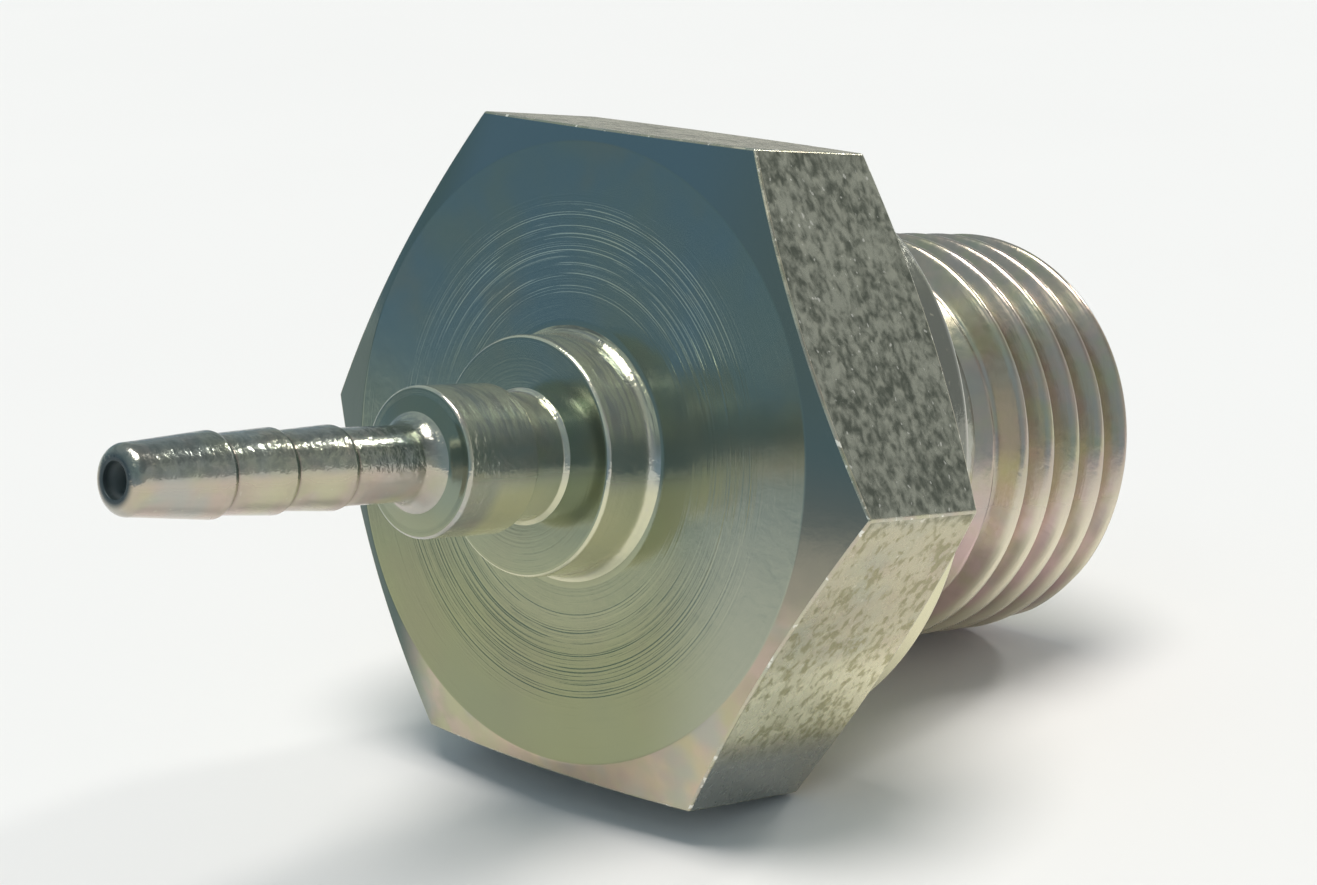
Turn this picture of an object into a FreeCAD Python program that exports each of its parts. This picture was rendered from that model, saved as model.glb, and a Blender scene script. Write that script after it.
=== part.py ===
# Male stud fitting for a crimped micro-bore hose, turned in one piece from hexagon bar.
# It is built along X about the centre of the sealing face: the threaded stud points to +X,
# and the hexagon, the crimp seat and the barbed hose tail reach to -X. The stud outweighs
# the tail, so the loose fitting tips over its lower flat until the end of the thread lands.
# It is set down that way at the end, with the centre of the sealing face still the origin.
import FreeCAD, Part
import os
import Sketcher

NODE = "fitting_body"

# Driving sizes in millimetres, angles in degrees
SIZES = (
    ("hex_across_flats", 19.0),
    ("hex_length", 6.0),
    ("hex_face_inset", 0.8),
    ("hex_chamfer_angle", 19.0),
    ("seal_collar_diameter", 18.0),
    ("seal_collar_length", 1.5),
    ("seal_edge_chamfer", 0.2),
    ("thread_diameter", 13.157),
    ("stud_length", 12.0),
    ("thread_end_chamfer", 0.7),
    ("undercut_diameter", 11.2),
    ("undercut_length", 4.6),
    ("undercut_shoulder_angle", 45.0),
    ("undercut_root_radius", 0.4),
    ("stop_collar_diameter", 7.0),
    ("stop_collar_length", 1.9),
    ("stop_edge_chamfer", 0.14),
    ("stop_root_radius", 0.45),
    ("neck_diameter", 4.3),
    ("neck_length", 4.05),
    ("neck_edge_chamfer", 0.14),
    ("neck_groove_diameter", 3.7),
    ("neck_groove_length", 1.15),
    ("neck_groove_chamfer", 0.25),
    ("flare_diameter", 3.54),
    ("flare_length", 1.05),
    ("stem_diameter", 2.14),
    ("tail_length", 10.37),
    ("nose_diameter", 1.96),
    ("nose_length", 0.6),
    ("nose_face_diameter", 1.9),
    ("nose_radius", 0.35),
    ("barb_diameter", 2.38),
    ("barb_land", 0.2),
    ("barb_slope_length", 1.3),
    ("barb_back_length", 0.32),
    ("barb_pitch", 2.08),
    ("barb_count", 3.0),
    ("first_barb_length", 2.97),
    ("tail_bore_diameter", 1.0),
    ("port_bore_diameter", 5.5),
    ("port_bore_depth", 15.5),
    ("port_drill_angle", 118.0),
    ("port_seat_diameter", 8.4),
    ("port_seat_angle", 60.0),
)

doc = FreeCAD.newDocument("stud_fitting")
sheet = doc.addObject("Spreadsheet::Sheet", "Sizes")
for row, (alias, value) in enumerate(SIZES, start=1):
    sheet.set(f"A{row}", alias)
    sheet.set(f"B{row}", str(value))
    sheet.setAlias(f"B{row}", alias)
doc.recompute()

body = doc.addObject("PartDesign::Body", "FittingBody")
body.Label = NODE
doc.recompute()

# Stations along the axis, from the sealing face outwards
HEX_REAR = "-Sizes.seal_collar_length"
HEX_FRONT = f"{HEX_REAR} - Sizes.hex_length"
STOP_FACE = f"{HEX_FRONT} - Sizes.stop_collar_length"
NECK_FACE = f"{STOP_FACE} - Sizes.neck_length"
TAIL_TIP = f"{NECK_FACE} - Sizes.tail_length"
FIRST_BARB = f"{TAIL_TIP} + Sizes.first_barb_length"
UNDERCUT_END = "Sizes.undercut_length"
STUD_END = "Sizes.stud_length"

# Radii about the axis
HEX_CORNER = "Sizes.hex_across_flats / sqrt(3)"
HEX_FACE = "(Sizes.hex_across_flats - Sizes.hex_face_inset) / 2"
SEAL_COLLAR = "Sizes.seal_collar_diameter / 2"
THREAD = "Sizes.thread_diameter / 2"
UNDERCUT = "Sizes.undercut_diameter / 2"
STOP_COLLAR = "Sizes.stop_collar_diameter / 2"
NECK = "Sizes.neck_diameter / 2"
NECK_GROOVE = "Sizes.neck_groove_diameter / 2"
FLARE = "Sizes.flare_diameter / 2"
STEM = "Sizes.stem_diameter / 2"
NOSE = "Sizes.nose_diameter / 2"
NOSE_FACE = "Sizes.nose_face_diameter / 2"
BARB = "Sizes.barb_diameter / 2"
TAIL_BORE = "Sizes.tail_bore_diameter / 2"
PORT_BORE = "Sizes.port_bore_diameter / 2"
PORT_SEAT = "Sizes.port_seat_diameter / 2"

# Where the loose fitting touches the ground: rear edge of the lower flat, end of the thread
FLAT_REAR = f"{HEX_REAR} - (Sizes.hex_across_flats / 2 - {HEX_FACE}) * tan(Sizes.hex_chamfer_angle)"
THREAD_FRONT = f"{STUD_END} - Sizes.thread_end_chamfer"
REST_DROP = f"Sizes.hex_across_flats / 2 - {THREAD}"
REST_TILT = f"atan(({REST_DROP}) / ({THREAD_FRONT} - ({FLAT_REAR})))"

AXIS = "0"
EDGE_TOLERANCE = 1e-4


def size(expression):
    """The number that an expression over the sheet has now."""
    value = sheet.evalExpression(expression)
    return getattr(value, "Value", value)


def origin_plane(role):
    """One of the body's own origin planes."""
    return next(plane for plane in body.Origin.OriginFeatures if plane.Role == role)


def new_sketch(name, role):
    """An empty sketch on one of the body's origin planes."""
    sketch = body.newObject("Sketcher::SketchObject", name)
    sketch.AttachmentSupport = [(origin_plane(role), "")]
    sketch.MapMode = "FlatFace"
    return sketch


def place(sketch, edge, label, direction, expression):
    """Tie the start of an edge to the sketch's axes by one bound distance."""
    if expression == AXIS:
        axis_edge = -2 if direction == "DistanceX" else -1
        sketch.addConstraint(Sketcher.Constraint("PointOnObject", edge, 1, axis_edge))
        return
    value = size(expression)
    constraint = Sketcher.Constraint(direction, -1, 1, edge, 1, value)
    index = sketch.addConstraint(constraint)
    sketch.renameConstraint(index, label)
    sketch.setExpression(f"Constraints.{label}", expression)


def outline(sketch, prefix, corners):
    """A closed outline of straight edges through corners given as (station, radius)."""
    points = [FreeCAD.Vector(size(station), size(radius), 0) for station, radius in corners]
    first = sketch.GeometryCount
    for start, end in zip(points, points[1:] + points[:1]):
        sketch.addGeometry(Part.LineSegment(start, end), False)
    last = first + len(points) - 1
    for edge in range(first, last + 1):
        following = edge + 1 if edge < last else first
        sketch.addConstraint(Sketcher.Constraint("Coincident", edge, 2, following, 1))
    for edge, (station, radius) in enumerate(corners, start=first):
        label = f"{prefix}{edge - first + 1}"
        place(sketch, edge, f"{label}_station", "DistanceX", station)
        place(sketch, edge, f"{label}_radius", "DistanceY", radius)


def settle(feature):
    """Bring a new feature up to date and stop if it fails."""
    doc.recompute()
    if not feature.isValid() or "Touched" in feature.State:
        raise RuntimeError(f"{feature.Name} has failed")


def turned(name, corners):
    """Add the solid that a half-profile sweeps about the axis."""
    sketch = new_sketch(f"{name}_profile", "XZ_Plane")
    outline(sketch, "p", corners)
    feature = body.newObject("PartDesign::Revolution", name)
    feature.Profile = sketch
    feature.ReferenceAxis = (sketch, ["H_Axis"])
    feature.Angle = 360.0
    sketch.Visibility = False
    settle(feature)
    return feature


def turned_away(name, profiles):
    """Cut away what one or more half-profiles sweep about the axis."""
    volume = body.Shape.Volume
    sketch = new_sketch(f"{name}_profile", "XZ_Plane")
    for letter, corners in zip("abc", profiles):
        outline(sketch, letter, corners)
    feature = body.newObject("PartDesign::Groove", name)
    feature.Profile = sketch
    feature.ReferenceAxis = (sketch, ["H_Axis"])
    feature.Angle = 360.0
    sketch.Visibility = False
    settle(feature)
    if not body.Shape.Volume < volume:
        raise RuntimeError(f"{name} cuts nothing")


def circle_edges(station, radius):
    """Names of the body's circular edges at a station with a radius."""
    names = []
    for number, edge in enumerate(body.Shape.Edges, start=1):
        curve = edge.Curve
        if not isinstance(curve, Part.Circle):
            continue
        station_off = abs(curve.Center.x - size(station))
        radius_off = abs(curve.Radius - size(radius))
        if max(station_off, radius_off) < EDGE_TOLERANCE:
            names.append(f"Edge{number}")
    if not names:
        raise RuntimeError(f"no circular edge at {station} with radius {radius}")
    return names


def rounded(name, station, radius, blend):
    """Round the circular edge at a station with a blend radius."""
    base = body.Tip
    feature = body.newObject("PartDesign::Fillet", name)
    feature.Base = (base, circle_edges(station, radius))
    feature.setExpression("Radius", blend)
    settle(feature)


def hexagon():
    """The length of bar that keeps its six flats, two of them level."""
    sketch = new_sketch("hexagon_section", "YZ_Plane")
    sketch.setExpression("AttachmentOffset.Base.z", HEX_FRONT)
    corner = FreeCAD.Vector(size(HEX_CORNER), 0, 0)
    turn = FreeCAD.Rotation(FreeCAD.Vector(0, 0, 1), 60)
    points = [corner]
    while len(points) < 6:
        points.append(turn.multVec(points[-1]))
    for start, end in zip(points, points[1:] + points[:1]):
        sketch.addGeometry(Part.LineSegment(start, end), False)
    circle = Part.Circle(FreeCAD.Vector(0, 0, 0), FreeCAD.Vector(0, 0, 1), size(HEX_CORNER))
    round_edge = sketch.addGeometry(circle, True)
    sketch.addConstraint(Sketcher.Constraint("Coincident", round_edge, 3, -1, 1))
    for edge in range(6):
        sketch.addConstraint(Sketcher.Constraint("Coincident", edge, 2, (edge + 1) % 6, 1))
        sketch.addConstraint(Sketcher.Constraint("PointOnObject", edge, 1, round_edge))
    for edge in range(1, 6):
        sketch.addConstraint(Sketcher.Constraint("Equal", 0, edge))
    sketch.addConstraint(Sketcher.Constraint("PointOnObject", 0, 1, -1))
    corner_size = Sketcher.Constraint("Radius", round_edge, size(HEX_CORNER))
    index = sketch.addConstraint(corner_size)
    sketch.renameConstraint(index, "corner_radius")
    sketch.setExpression("Constraints.corner_radius", HEX_CORNER)
    pad = body.newObject("PartDesign::Pad", "hexagon")
    pad.Profile = sketch
    pad.setExpression("Length", "Sizes.hex_length")
    sketch.Visibility = False
    settle(pad)


def hexagon_chamfers():
    """Both ends of the hexagon turned to shallow cones, which leave arched flats."""
    clear = f"2 * {HEX_CORNER} - {HEX_FACE}"
    reach = f"2 * ({HEX_CORNER} - {HEX_FACE}) * tan(Sizes.hex_chamfer_angle)"
    front = (
        (HEX_FRONT, HEX_FACE),
        (f"{HEX_FRONT} + {reach}", clear),
        (HEX_FRONT, clear),
    )
    rear = (
        (HEX_REAR, HEX_FACE),
        (HEX_REAR, clear),
        (f"{HEX_REAR} - {reach}", clear),
    )
    turned_away("hexagon_chamfers", (front, rear))


def stud():
    """Sealing collar, undercut and thread blank at its major diameter."""
    shoulder = f"({THREAD} - {UNDERCUT}) / tan(Sizes.undercut_shoulder_angle)"
    chamfer = "Sizes.thread_end_chamfer"
    edge = "Sizes.seal_edge_chamfer"
    turned(
        "stud",
        (
            (HEX_REAR, AXIS),
            (HEX_REAR, SEAL_COLLAR),
            (f"-{edge}", SEAL_COLLAR),
            (AXIS, f"{SEAL_COLLAR} - {edge}"),
            (AXIS, UNDERCUT),
            (UNDERCUT_END, UNDERCUT),
            (f"{UNDERCUT_END} + {shoulder}", THREAD),
            (f"{STUD_END} - {chamfer}", THREAD),
            (STUD_END, f"{THREAD} - {chamfer}"),
            (STUD_END, AXIS),
        ),
    )
    rounded("undercut_root", AXIS, UNDERCUT, "Sizes.undercut_root_radius")


def stop_collar():
    """The collar that the crimped ferrule comes up against."""
    edge = "Sizes.stop_edge_chamfer"
    turned(
        "stop_collar",
        (
            (HEX_FRONT, AXIS),
            (HEX_FRONT, STOP_COLLAR),
            (f"{STOP_FACE} + {edge}", STOP_COLLAR),
            (STOP_FACE, f"{STOP_COLLAR} - {edge}"),
            (STOP_FACE, AXIS),
        ),
    )
    rounded("stop_root", HEX_FRONT, STOP_COLLAR, "Sizes.stop_root_radius")


def neck():
    """The seat under the ferrule's end, with the groove that the crimp locks into."""
    edge = "Sizes.neck_edge_chamfer"
    lip = "Sizes.neck_groove_chamfer"
    groove_start = f"{STOP_FACE} - Sizes.neck_groove_length"
    groove_rise = f"({NECK} - {NECK_GROOVE})"
    turned(
        "neck",
        (
            (STOP_FACE, AXIS),
            (STOP_FACE, f"{NECK_GROOVE} + {lip}"),
            (f"{STOP_FACE} - {lip}", NECK_GROOVE),
            (groove_start, NECK_GROOVE),
            (f"{groove_start} - {groove_rise}", NECK),
            (f"{NECK_FACE} + {edge}", NECK),
            (NECK_FACE, f"{NECK} - {edge}"),
            (NECK_FACE, AXIS),
        ),
    )


def tail():
    """The hose tail: root flare, stem, long first barb and rounded nose."""
    back = f"{FIRST_BARB} + Sizes.barb_land + Sizes.barb_back_length"
    turned(
        "tail",
        (
            (NECK_FACE, AXIS),
            (NECK_FACE, FLARE),
            (f"{NECK_FACE} - Sizes.flare_length", STEM),
            (back, STEM),
            (f"{FIRST_BARB} + Sizes.barb_land", BARB),
            (FIRST_BARB, BARB),
            (f"{TAIL_TIP} + Sizes.nose_length", NOSE),
            (TAIL_TIP, NOSE_FACE),
            (TAIL_TIP, AXIS),
        ),
    )
    rounded("nose", TAIL_TIP, NOSE_FACE, "Sizes.nose_radius")


def further_barbs():
    """The short barbs behind the first, one ring repeated along the stem."""
    crest = f"{FIRST_BARB} + Sizes.barb_pitch"
    foot = f"{crest} - Sizes.barb_slope_length"
    back = f"{crest} + Sizes.barb_land + Sizes.barb_back_length"
    inside = f"({STEM} + {TAIL_BORE}) / 2"
    ring = turned(
        "second_barb",
        (
            (foot, inside),
            (foot, STEM),
            (crest, BARB),
            (f"{crest} + Sizes.barb_land", BARB),
            (back, STEM),
            (back, inside),
        ),
    )
    pattern = body.newObject("PartDesign::LinearPattern", "further_barbs")
    pattern.Originals = [ring]
    pattern.Direction = (ring.Profile[0], ["H_Axis"])
    pattern.setExpression("Occurrences", "Sizes.barb_count - 1")
    pattern.setExpression("Length", "Sizes.barb_pitch * (Sizes.barb_count - 2)")
    body.Tip = pattern
    settle(pattern)


def flow_passage():
    """The way through: coned seat, port bore with its drill point, and tail bore."""
    half_seat = "Sizes.port_seat_angle / 2"
    half_point = "Sizes.port_drill_angle / 2"
    seat_depth = f"({PORT_SEAT} - {PORT_BORE}) / tan({half_seat})"
    bore_floor = f"{STUD_END} - Sizes.port_bore_depth"
    point_depth = f"({PORT_BORE} - {TAIL_BORE}) / tan({half_point})"
    turned_away(
        "flow_passage",
        (
            (
                (STUD_END, AXIS),
                (STUD_END, PORT_SEAT),
                (f"{STUD_END} - {seat_depth}", PORT_BORE),
                (bore_floor, PORT_BORE),
                (f"{bore_floor} - {point_depth}", TAIL_BORE),
                (TAIL_TIP, TAIL_BORE),
                (TAIL_TIP, AXIS),
            ),
        ),
    )


def check(document):
    """Stop where a feature has failed or the finished solid isn't sound."""
    for item in document.Objects:
        if "Invalid" in item.State or "Error" in item.State:
            raise RuntimeError(f"{item.Name} has failed: {item.State}")
        shape = getattr(item, "Shape", None)
        if shape is not None and (shape.isNull() or not shape.isValid()):
            raise RuntimeError(f"{item.Name} has no valid shape")
    if len(body.Shape.Solids) != 1:
        raise RuntimeError("the fitting is not one solid")


hexagon()
hexagon_chamfers()
stud()
stop_collar()
neck()
tail()
further_barbs()
flow_passage()
body.Placement = FreeCAD.Placement(FreeCAD.Vector(0, 0, 0), FreeCAD.Rotation(FreeCAD.Vector(0, 1, 0), 1))
body.setExpression("Placement.Rotation.Angle", REST_TILT)
doc.recompute()
check(doc)

os.makedirs("parts", exist_ok=True)
fitting = body.Shape.Solids[0]
fitting.exportStep(f"parts/{body.Label}.step")
box = fitting.BoundBox
print(f"{body.Label}: {fitting.Volume:.1f} mm3, balance point at x {fitting.CenterOfMass.x:.2f} mm")
print(f"{box.XLength:.2f} mm long, {box.YLength:.2f} mm over corners, {box.ZLength:.2f} mm over flats")
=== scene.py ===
import math

import bmesh
import bpy
from mathutils import Matrix, Vector


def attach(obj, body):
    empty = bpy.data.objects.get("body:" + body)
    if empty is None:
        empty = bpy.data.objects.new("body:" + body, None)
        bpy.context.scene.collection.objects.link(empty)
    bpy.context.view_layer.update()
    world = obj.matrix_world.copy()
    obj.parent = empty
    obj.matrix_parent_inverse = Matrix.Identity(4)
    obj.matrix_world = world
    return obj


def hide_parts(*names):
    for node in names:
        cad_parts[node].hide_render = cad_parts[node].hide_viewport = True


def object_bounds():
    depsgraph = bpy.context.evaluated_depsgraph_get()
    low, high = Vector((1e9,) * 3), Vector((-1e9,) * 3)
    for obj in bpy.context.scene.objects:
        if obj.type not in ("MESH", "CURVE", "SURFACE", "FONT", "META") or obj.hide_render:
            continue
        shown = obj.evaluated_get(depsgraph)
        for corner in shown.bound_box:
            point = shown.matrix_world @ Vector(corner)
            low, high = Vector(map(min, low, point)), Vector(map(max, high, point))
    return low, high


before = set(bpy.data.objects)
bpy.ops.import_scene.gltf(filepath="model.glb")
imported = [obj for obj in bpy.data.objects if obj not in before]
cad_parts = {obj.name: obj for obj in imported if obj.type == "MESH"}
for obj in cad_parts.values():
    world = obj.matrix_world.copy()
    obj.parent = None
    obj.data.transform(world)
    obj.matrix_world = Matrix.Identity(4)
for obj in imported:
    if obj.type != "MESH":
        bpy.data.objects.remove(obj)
CAD_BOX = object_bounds()

bl_info = {
    "name": "Crimp hose fitting",
    "version": (1, 0, 0),
    "blender": (4, 5, 0),
    "location": "3D View > Sidebar > Fitting",
    "description": "Turns, mills, threads and plates a small hydraulic hose fitting and sets it on a table",
    "category": "Object",
}

PIECE = "fitting"
NODE = "fitting_body"
BODY = "root"

MM = 1000.0                              # the piece is drawn in millimetres and brought to metres last
STEPS_ROUND = 192                        # straight steps in a full turn
REST_TILT = math.radians(12.72468)       # of the axis, as the fitting lies on a flat and its thread
CHAMFER_ANGLE = math.radians(19.0)       # of the hexagon's ends, against their faces
SEAT_ANGLE = math.radians(30.0)          # of the coned seat, against the axis
DRILL_ANGLE = math.radians(59.0)         # of the drill point, against the axis
FLANK_ANGLE = math.radians(27.5)         # of the thread's flanks, against a plane across the axis
BARBS = 3
DOUBLES = 1e-4                           # points nearer to each other than this are one
METALLIC = 0.92                          # of the plating where nothing else is said

# material slots of the piece, in the order of FINISHES
TURNED, FACED, MILLED, THREADED, EDGES, BORED = range(6)


# Sizes and colours

def length(name, about, millimetres):
    return bpy.props.FloatProperty(
        name=name, description=about, default=millimetres / MM, min=0.0, unit="LENGTH", precision=5)


def colour(name, about, value):
    return bpy.props.FloatVectorProperty(
        name=name, description=about, default=value, size=3, min=0.0, max=1.0, subtype="COLOR")


class FittingSizes(bpy.types.PropertyGroup):
    """Sizes of the fitting, measured along its own axis from the sealing face."""
    hex_flats: length("Across flats", "Width of the hexagon over two opposite flats", 19.0)
    hex_length: length("Hexagon length", "Length of the hexagon along the axis", 6.0)
    hex_face: length("Turned face", "Diameter of the flat turned face before the chamfer starts", 18.2)
    hex_blank: length("Bar", "Diameter of the round blank that the flats are cut from", 22.6)
    seal_diameter: length("Sealing collar", "Diameter of the round collar with the sealing face", 18.0)
    seal_length: length("Sealing collar length", "Length of that collar", 1.5)
    undercut_diameter: length("Undercut", "Diameter behind the thread", 11.2)
    undercut_length: length("Undercut length", "Distance from the sealing face to the shoulder", 4.6)
    thread_diameter: length("Thread", "Outside diameter of the thread", 13.157)
    thread_pitch: length("Thread pitch", "Distance from crest to crest", 1.337)
    thread_depth: length("Thread depth", "Depth from crest to root", 0.856)
    thread_round: length("Thread rounding", "Radius of the crests and roots", 0.1836)
    thread_crest: length("First crest", "Place of a crest on the +Y side, from the sealing face", 0.0)
    stud_length: length("Stud length", "Sealing face to the end of the thread", 12.0)
    thread_lead: length("Lead chamfer", "Chamfer at the end of the thread", 0.7)
    collar_diameter: length("Stop collar", "Diameter of the collar on the hexagon's face", 7.0)
    collar_length: length("Stop collar length", "Length of that collar", 1.9)
    collar_root: length("Stop collar root", "Radius between that collar and the face", 0.45)
    neck_diameter: length("Neck", "Diameter of the ferrule's land", 4.3)
    neck_length: length("Neck length", "Length of the neck with its groove", 4.05)
    neck_rim: length("Neck rim", "Width of the flat ring on the neck's front", 0.28)
    groove_diameter: length("Groove", "Diameter of the crimp groove", 3.7)
    groove_length: length("Groove length", "Length of the groove before the stop collar", 1.15)
    groove_slope: length("Groove slope", "Length of the slope from the land into the groove", 0.30)
    groove_root: length("Groove root", "Radius between the groove and the stop collar", 0.13)
    flare_length: length("Root flare", "Length over which the stem widens into the neck", 0.20)
    stem_diameter: length("Stem", "Diameter of the hose tail between its barbs", 2.14)
    barb_diameter: length("Barbs", "Diameter over the barbs", 2.37)
    barb_fall: length("Barb shoulder", "Length over which a barb falls to the stem", 0.10)
    barb_pitch: length("Barb pitch", "Distance from barb to barb", 2.08)
    first_barb: length("First barb", "Distance from the tip to the first barb's crest", 3.07)
    tail_length: length("Tail length", "Length of the hose tail from the neck to its tip", 10.37)
    tail_bore: length("Tail bore", "Diameter of the passage in the hose tail", 1.0)
    nose_face: length("Nose", "Diameter of the tip before it is rounded", 1.89)
    nose_shoulder: length("Nose shoulder", "Diameter where the first barb's slope starts", 1.96)
    nose_length: length("Nose length", "Length of the nose up to its shoulder", 0.6)
    port_bore: length("Port bore", "Diameter of the passage in the stud", 5.5)
    port_seat: length("Port seat", "Diameter of the coned seat at the stud's end", 8.4)
    drill_depth: length("Drill depth", "Depth of the port bore from the stud's end, less its point", 15.5)
    edge_break: length("Broken edges", "Width of the worn strip along the hexagon's edges", 0.11)
    face_break: length("Face edge", "Width of the rounding between the turned face and its chamfer", 0.12)


class FittingPlating(bpy.types.PropertyGroup):
    """Colours of the plating."""
    zinc: colour("Zinc", "Plain colour of the plating", (0.535, 0.50, 0.385))
    olive: colour("Olive", "Yellow-green tint of the passivation", (0.52, 0.53, 0.30))
    rose: colour("Rose", "Pink tint of the passivation", (0.56, 0.44, 0.39))
    steel_blue: colour("Blue", "Blue tint of the passivation", (0.40, 0.48, 0.45))
    bare: colour("Worn edge", "Rubbed plating on edges and chips", (0.72, 0.68, 0.54))


class Drawing:
    """The sizes in millimetres, and the radii and places along the axis that follow from them."""

    def __init__(self, sizes):
        for name in FittingSizes.__annotations__:
            setattr(self, name, getattr(sizes, name) * MM)
        # radii
        self.flat = self.hex_flats / 2
        self.face = self.hex_face / 2
        self.bar = self.hex_blank / 2
        self.seal = self.seal_diameter / 2
        self.undercut = self.undercut_diameter / 2
        self.thread = self.thread_diameter / 2
        self.collar = self.collar_diameter / 2
        self.land = self.neck_diameter / 2
        self.groove = self.groove_diameter / 2
        self.stem = self.stem_diameter / 2
        self.barb = self.barb_diameter / 2
        self.narrow = self.tail_bore / 2
        self.wide = self.port_bore / 2
        self.seat = self.port_seat / 2
        # places along the axis, from the sealing face towards the tail and then towards the thread
        self.back = -self.seal_length
        self.front = self.back - self.hex_length
        self.stop = self.front - self.collar_length
        self.neck = self.stop - self.neck_length
        self.tip = self.neck - self.tail_length
        self.crests = [self.tip + self.first_barb + k * self.barb_pitch for k in range(BARBS)]
        self.hollows = [crest + self.barb_fall for crest in self.crests]
        self.shoulder = self.undercut_length
        self.end = self.stud_length


# Helpers for modelling

def only(piece):
    """Make one object active and the only one selected."""
    bpy.ops.object.select_all(action="DESELECT")
    piece.select_set(True)
    bpy.context.view_layer.objects.active = piece


def the_piece():
    """The fitting, which every step but the first works on."""
    piece = bpy.data.objects.get(PIECE)
    if piece is None:
        raise RuntimeError("the fitting isn't turned yet")
    return piece


def off_axis(co):
    """Distance of a point from the axis, or how far a normal leans away from it."""
    return math.hypot(co.y, co.z)


def pick_edges(piece, test):
    """Select the edges that pass the test, in edit mode, and nothing else."""
    bpy.ops.mesh.select_mode(type="EDGE")
    bpy.ops.mesh.select_all(action="DESELECT")
    mesh = bmesh.from_edit_mesh(piece.data)
    found = [e for e in mesh.edges if test(e)]
    if not found:
        raise RuntimeError("no edge was found to select")
    for e in found:
        e.select_set(True)
    mesh.select_flush_mode()
    bmesh.update_edit_mesh(piece.data)


ROUNDING_SHARE = 0.78                    # the most of a straight stretch that one rounding may take up
ROUNDING_STEPS = 5                       # straight steps in a rounding of a quarter turn


def rounded_corner(before, here, after, radius):
    """Points of the arc that rounds one corner of a path."""
    back, on = before - here, after - here
    half = back.angle(on) / 2
    reach = min(radius / math.tan(half), ROUNDING_SHARE * back.length, ROUNDING_SHARE * on.length)
    radius = reach * math.tan(half)
    centre = here + (back.normalized() + on.normalized()).normalized() * radius / math.sin(half)
    start = here + back.normalized() * reach - centre
    end = here + on.normalized() * reach - centre
    turn = start.angle_signed(end)
    wanted = math.ceil(ROUNDING_STEPS * abs(turn) / (math.pi / 2)) + 1
    count = max(2, min(ROUNDING_STEPS + 3, wanted))
    points = []
    for k in range(count + 1):
        arm = start.copy()
        arm.rotate(Matrix.Rotation(-turn * k / count, 2))
        points.append(centre + arm)
    return points


def rounded_path(corners):
    """Points of a path through corners (x, r, radius), each corner rounded by its radius."""
    places = [Vector(corner[:2]) for corner in corners]
    points = [places[0]]
    for k in range(1, len(corners) - 1):
        radius = corners[k][2]
        if radius > 0:
            points += rounded_corner(places[k - 1], places[k], places[k + 1], radius)
        else:
            points.append(places[k])
    points.append(places[-1])
    return points


# The blank

BORE_START = 0.5                         # how far inside the tail's bore the outline starts
HOLLOW_RISE = 0.005                      # the hollow behind a barb stands this much above the stem
THREAD_ROWS = (17, 100, 12)              # rows of points along the shoulder, the crests and the lead chamfer


def tail_corners(at):
    """Tail bore's mouth, nose, barbs and stem."""
    corners = [(at.tip + BORE_START, at.narrow, 0), (at.tip, at.narrow, 0.03),
               (at.tip, at.nose_face / 2, 0.36), (at.tip + at.nose_length, at.nose_shoulder / 2, 0.4)]
    for crest, hollow in zip(at.crests, at.hollows):
        corners += [(crest, at.barb, 0.35), (hollow, at.stem + HOLLOW_RISE, 0.04)]
    return corners + [(at.neck - at.flare_length, at.stem, 0.65)]


def body_corners(at):
    """Neck with its groove, stop collar, blank of the hexagon, sealing collar and undercut."""
    cone = (at.bar - at.face) * math.tan(CHAMFER_ANGLE)
    groove = at.stop - at.groove_length
    return [(at.neck, at.land - at.neck_rim, 0.08), (at.neck, at.land, 0.13),
            (groove - at.groove_slope, at.land, 0.10), (groove, at.groove, 0.16),
            (at.stop - at.groove_root, at.groove, 0.10), (at.stop, at.groove + at.groove_root, 0.05),
            (at.stop, at.collar, 0.14), (at.front, at.collar, at.collar_root),
            (at.front, at.face, 0), (at.front + cone, at.bar, 0),
            (at.back - cone, at.bar, 0), (at.back, at.face, 0), (at.back, at.seal, 0),
            (0.0, at.seal, 0.2), (0.0, at.undercut, 0.4)]


def port_corners(at):
    """Coned seat, port bore and drill point, from the stud's end inwards."""
    drilled = at.end - at.drill_depth
    return [(at.end, at.seat, 0.12), (at.end - (at.seat - at.wide) / math.tan(SEAT_ANGLE), at.wide, 0.2),
            (drilled, at.wide, 0), (drilled - (at.wide - at.narrow) / math.tan(DRILL_ANGLE), at.narrow, 0)]


def outline(at):
    """All points (x, r) of the outline, and the four between which the thread is cut."""
    threaded = [(at.shoulder, at.undercut), (at.shoulder + at.thread - at.undercut, at.thread),
                (at.end - at.thread_lead, at.thread), (at.end, at.thread - at.thread_lead)]
    outside = rounded_path(tail_corners(at) + body_corners(at) + [threaded[0] + (0,)])
    inside = rounded_path([threaded[-1] + (0,)] + port_corners(at))
    threaded = [Vector(point) for point in threaded]
    return outside[:-1] + threaded + inside[1:], threaded


def draw(points):
    """A row of edges through the points, as a new object in edit mode."""
    bpy.ops.object.select_all(action="DESELECT")
    bpy.ops.mesh.primitive_plane_add(size=0.1, location=(0, 0, 0))
    piece = bpy.context.object
    piece.name = piece.data.name = PIECE
    bpy.ops.object.mode_set(mode="EDIT")
    bpy.ops.mesh.select_all(action="SELECT")
    bpy.ops.mesh.merge(type="CENTER")
    bpy.ops.transform.translate(value=(points[0].x, 0.0, points[0].y))
    for a, b in zip(points, points[1:]):
        bpy.ops.mesh.extrude_vertices_move(
            TRANSFORM_OT_translate={"value": (b.x - a.x, 0.0, b.y - a.y)})
    return piece


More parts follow.
